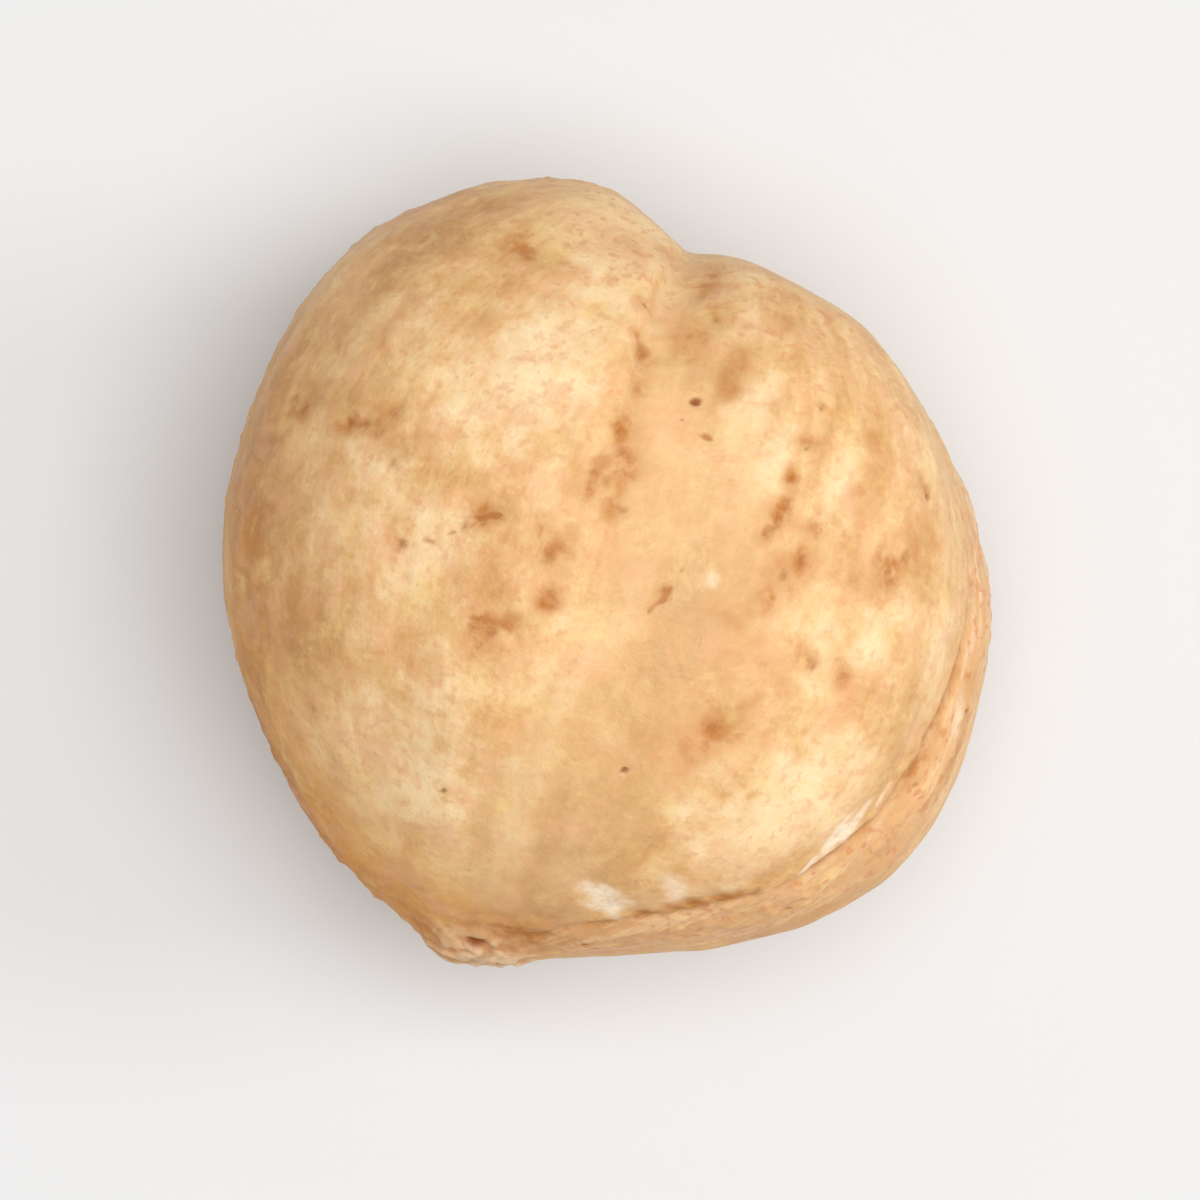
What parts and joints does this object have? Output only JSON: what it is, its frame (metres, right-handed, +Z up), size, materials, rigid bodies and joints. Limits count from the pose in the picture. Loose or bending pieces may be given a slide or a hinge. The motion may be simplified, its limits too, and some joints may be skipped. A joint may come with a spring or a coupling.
{
  "type": "hazelnut kernel",
  "caption": "Blanched whole hazelnut kernel with a blunt pointed tip, two full cheeks and a notched crown, lying on its side on a small flat.",
  "frame": {"origin": "on the surface it rests on, under the middle of the kernel's box", "axes": "+Z up from the resting flat; the kernel's long axis is along Y, with the pointed tip towards -Y and the notched crown towards +Y; +X across the two cheeks, towards the fuller one"},
  "size_m": [0.0154, 0.0152, 0.0133],
  "materials": {
    "blanched_kernel": null
  },
  "bodies": {
    "root": {"kernel": "blanched_kernel"}
  },
  "joints": []
}
